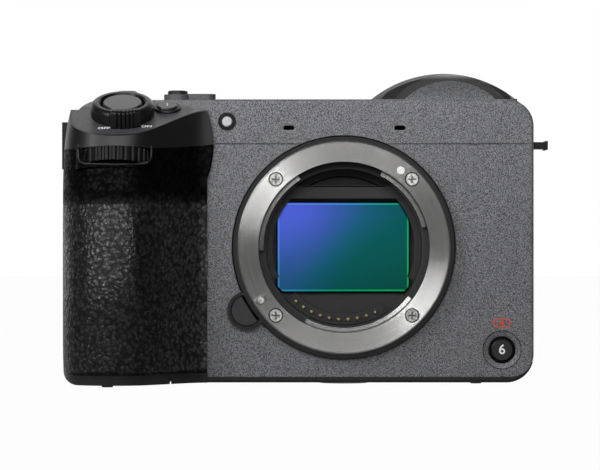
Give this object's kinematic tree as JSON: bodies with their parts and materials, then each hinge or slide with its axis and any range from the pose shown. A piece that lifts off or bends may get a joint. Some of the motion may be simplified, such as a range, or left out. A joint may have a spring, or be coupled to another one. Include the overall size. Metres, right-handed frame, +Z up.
{
  "type": "cinema camera",
  "caption": "Compact box-shaped cinema camera body with a side grip, bayonet lens mount, tilting eyepiece and side-hinged monitor.",
  "frame": {"origin": "mouth of the tripod socket, straight under the lens axis", "axes": "+X to the right seen from the front, +Y to the rear, +Z up; the lens looks along -Y"},
  "size_m": [0.1351, 0.1037, 0.0884],
  "materials": {
    "grey_paint": "satin metallic grey",
    "black_plastic": "satin black",
    "grip_rubber": "leather grain",
    "cast_alloy": "cast",
    "mount_steel": "fine turned",
    "screw_steel": "plain",
    "throat_black": "dull black",
    "gold": "gold plated",
    "grey_plastic": "satin dark grey",
    "blade_black": "dull black",
    "sensor": "coated",
    "board_green": "solder mask",
    "battery_black": "moulded",
    "black_metal": "satin black",
    "button_black": "semi-gloss",
    "record_red": "semi-gloss",
    "lamp_clear": "clear",
    "screen_glass": "gloss black",
    "cup_rubber": "smooth",
    "eye_glass": "coated"
  },
  "bodies": {
    "body": {"front_cover": "grey_paint", "top_cover": "grey_paint", "rear_cover": "grey_paint", "bottom_plate": "black_plastic", "port_side_cover": "grey_paint", "grip_frame": "black_plastic", "grip_rubber": "grip_rubber", "chassis": "cast_alloy", "mount_bezel": "black_plastic", "mount_ring": "mount_steel", "mount_screws": "screw_steel", "mount_box": "throat_black", "contact_block": "throat_black", "shutter_frame": "throat_black", "main_board": "board_green", "fan_housing": "black_plastic", "battery": "battery_black", "accessory_shoe": "screw_steel", "thread_inserts": "screw_steel", "strap_lugs": "black_metal", "front_lamps": "lamp_clear"},
    "power_switch_ring": {"power_switch": "black_metal"},
    "shutter_cap": {"shutter_button": "button_black"},
    "front_wheel": {"front_dial": "black_metal"},
    "custom_cap_1": {"custom_button_1": "button_black"},
    "custom_cap_2": {"custom_button_2": "button_black"},
    "mode_ring": {"mode_lever": "black_metal"},
    "top_record_cap": {"top_record_button": "record_red"},
    "rear_wheel": {"rear_dial": "black_metal"},
    "front_record_cap": {"front_record_button": "button_black"},
    "release_cap": {"lens_release_button": "grey_plastic"},
    "lock_pin": {"lens_lock_pin": "screw_steel"},
    "contacts": {"contact_pins": "gold"},
    "blade_1": {"shutter_blade_1": "blade_black"},
    "blade_2": {"shutter_blade_2": "blade_black"},
    "blade_3": {"shutter_blade_3": "blade_black"},
    "stabiliser": {"stabiliser_frame": "cast_alloy"},
    "sensor": {"sensor_carriage": "throat_black", "sensor_glass": "sensor"},
    "fan": {"fan_rotor": "black_plastic"},
    "battery_flap": {"battery_door": "black_plastic"},
    "battery_catch": {"battery_latch": "grey_plastic"},
    "card_flap": {"card_door": "black_plastic"},
    "audio_flap": {"audio_door": "black_plastic"},
    "digital_flap": {"digital_door": "black_plastic"},
    "monitor": {"monitor_panel": "black_plastic", "monitor_glass": "screen_glass", "monitor_arm": "black_metal"},
    "eyepiece": {"evf_housing": "black_plastic", "evf_front_cap": "grey_paint", "evf_eyecup": "cup_rubber", "eyepiece_lens": "eye_glass"},
    "dioptre_wheel": {"diopter_dial": "black_plastic"},
    "focus_cap": {"focus_button": "button_black"},
    "menu_cap": {"menu_button": "button_black"},
    "playback_cap": {"playback_button": "button_black"},
    "rear_ring": {"control_wheel": "black_metal"},
    "wheel_cap": {"wheel_button": "button_black"},
    "stick_ring": {"joystick_gimbal": "black_metal"},
    "stick": {"joystick_cap": "cup_rubber"}
  },
  "joints": [
    {"name": "power_switch_turn", "type": "hinge", "parent": "body", "child": "power_switch_ring", "pos_m": [-0.0602, -0.0136, 0.07331], "axis": [0, 0.4226, -0.9063], "range_deg": [0, 32]},
    {"name": "shutter_press", "type": "slide", "parent": "body", "child": "shutter_cap", "axis": [0, 0.4226, -0.9063], "range_m": [0, 0.0008], "stiffness_N_per_m": 400, "springref_m": -0.0002},
    {"name": "front_dial_turn", "type": "hinge", "parent": "body", "child": "front_wheel", "pos_m": [-0.06175, -0.0208, 0.0609], "axis": [0, 0.2079, 0.9781], "continuous": true},
    {"name": "custom_1_press", "type": "slide", "parent": "body", "child": "custom_cap_1", "axis": [0, 0.4226, -0.9063], "range_m": [0, 0.0004], "stiffness_N_per_m": 400, "springref_m": -0.0002},
    {"name": "custom_2_press", "type": "slide", "parent": "body", "child": "custom_cap_2", "axis": [0, 0, -1], "range_m": [0, 0.0005], "stiffness_N_per_m": 400, "springref_m": -0.0002},
    {"name": "mode_lever_turn", "type": "hinge", "parent": "body", "child": "mode_ring", "pos_m": [-0.0461, 0.012, 0.079], "axis": [0, 0, 1], "range_deg": [-30, 30]},
    {"name": "top_record_press", "type": "slide", "parent": "body", "child": "top_record_cap", "axis": [0, 0, -1], "range_m": [0, 0.0005], "stiffness_N_per_m": 400, "springref_m": -0.0002},
    {"name": "rear_dial_turn", "type": "hinge", "parent": "body", "child": "rear_wheel", "pos_m": [-0.0625, 0.0286, 0.0712], "axis": [0, 0, 1], "continuous": true},
    {"name": "front_record_press", "type": "slide", "parent": "body", "child": "front_record_cap", "axis": [0, 1, 0], "range_m": [0, 0.0005], "stiffness_N_per_m": 400, "springref_m": -0.0002},
    {"name": "lens_release_press", "type": "slide", "parent": "body", "child": "release_cap", "axis": [0, 1, 0], "range_m": [0, 0.0018], "stiffness_N_per_m": 600, "springref_m": -0.0005},
    {"name": "lens_lock_retract", "type": "slide", "parent": "body", "child": "lock_pin", "axis": [0, 1, 0], "range_m": [0, 0.0016]},
    {"name": "contact_pins_press", "type": "slide", "parent": "body", "child": "contacts", "axis": [0, 1, 0], "range_m": [0, 0.0006], "stiffness_N_per_m": 300, "springref_m": -0.0002},
    {"name": "shutter_blade_1_drop", "type": "slide", "parent": "body", "child": "blade_1", "axis": [0, 0, -1], "range_m": [0, 0.0271], "stiffness_N_per_m": 30, "springref_m": -0.01},
    {"name": "shutter_blade_2_drop", "type": "slide", "parent": "body", "child": "blade_2", "axis": [0, 0, -1], "range_m": [0, 0.0182]},
    {"name": "shutter_blade_3_drop", "type": "slide", "parent": "body", "child": "blade_3", "axis": [0, 0, -1], "range_m": [0, 0.0092]},
    {"name": "stabiliser_shift_x", "type": "slide", "parent": "body", "child": "stabiliser", "axis": [1, 0, 0], "range_m": [-0.0012, 0.0012], "stiffness_N_per_m": 4000},
    {"name": "stabiliser_shift_z", "type": "slide", "parent": "stabiliser", "child": "sensor", "axis": [0, 0, 1], "range_m": [-0.0012, 0.0012], "stiffness_N_per_m": 4000},
    {"name": "fan_turn", "type": "hinge", "parent": "body", "child": "fan", "pos_m": [0.033, 0.0215, 0.034], "axis": [0, 1, 0], "continuous": true},
    {"name": "battery_door_swing", "type": "hinge", "parent": "body", "child": "battery_flap", "pos_m": [-0.0479, 0.00085, 0.0012], "axis": [0, -1, 0], "range_deg": [0, 90]},
    {"name": "battery_latch_slide", "type": "slide", "parent": "battery_flap", "child": "battery_catch", "axis": [-1, 0, 0], "range_m": [0, 0.0012]},
    {"name": "card_door_swing", "type": "hinge", "parent": "body", "child": "card_flap", "pos_m": [-0.07334, 0.03039, 0.033], "axis": [0, 0, -1], "range_deg": [0, 90]},
    {"name": "audio_door_swing", "type": "hinge", "parent": "body", "child": "audio_flap", "pos_m": [0.0512, -0.0062, 0.0505], "axis": [0, 0, -1], "range_deg": [0, 95]},
    {"name": "digital_door_swing", "type": "hinge", "parent": "body", "child": "digital_flap", "pos_m": [0.0512, -0.0062, 0.02375], "axis": [0, 0, -1], "range_deg": [0, 95]},
    {"name": "monitor_swing", "type": "hinge", "parent": "body", "child": "monitor", "pos_m": [0.0493, 0.0358, 0.032], "axis": [0, 0, -1], "range_deg": [0, 176]},
    {"name": "eyepiece_tilt", "type": "hinge", "parent": "body", "child": "eyepiece", "pos_m": [0.0305, 0.0335, 0.075], "axis": [1, 0, 0], "range_deg": [0, 90]},
    {"name": "dioptre_turn", "type": "hinge", "parent": "eyepiece", "child": "dioptre_wheel", "pos_m": [0.0487, 0.043, 0.076], "axis": [1, 0, 0], "range_deg": [-120, 120]},
    {"name": "focus_press", "type": "slide", "parent": "body", "child": "focus_cap", "axis": [0, -1, 0], "range_m": [0, 0.0005], "stiffness_N_per_m": 400, "springref_m": -0.0002},
    {"name": "menu_press", "type": "slide", "parent": "body", "child": "menu_cap", "axis": [0, -1, 0], "range_m": [0, 0.0005], "stiffness_N_per_m": 400, "springref_m": -0.0002},
    {"name": "playback_press", "type": "slide", "parent": "body", "child": "playback_cap", "axis": [0, -1, 0], "range_m": [0, 0.0005], "stiffness_N_per_m": 400, "springref_m": -0.0002},
    {"name": "control_wheel_turn", "type": "hinge", "parent": "body", "child": "rear_ring", "pos_m": [-0.0475, 0.036, 0.0325], "axis": [0, 1, 0], "continuous": true},
    {"name": "wheel_press", "type": "slide", "parent": "body", "child": "wheel_cap", "axis": [0, -1, 0], "range_m": [0, 0.0005], "stiffness_N_per_m": 400, "springref_m": -0.0002},
    {"name": "joystick_nod", "type": "hinge", "parent": "body", "child": "stick_ring", "pos_m": [-0.0363, 0.0334, 0.051], "axis": [1, 0, 0], "range_deg": [-8, 8], "stiffness_Nm_per_rad": 0.05},
    {"name": "joystick_sway", "type": "hinge", "parent": "stick_ring", "child": "stick", "pos_m": [-0.0363, 0.0334, 0.051], "axis": [0, 0, 1], "range_deg": [-8, 8], "stiffness_Nm_per_rad": 0.05}
  ],
  "couplings": [
    {"joint": "lens_lock_retract", "follows": "lens_release_press", "ratio": 0.85},
    {"joint": "shutter_blade_2_drop", "follows": "shutter_blade_1_drop", "ratio": 0.6667},
    {"joint": "shutter_blade_3_drop", "follows": "shutter_blade_1_drop", "ratio": 0.3333}
  ]
}
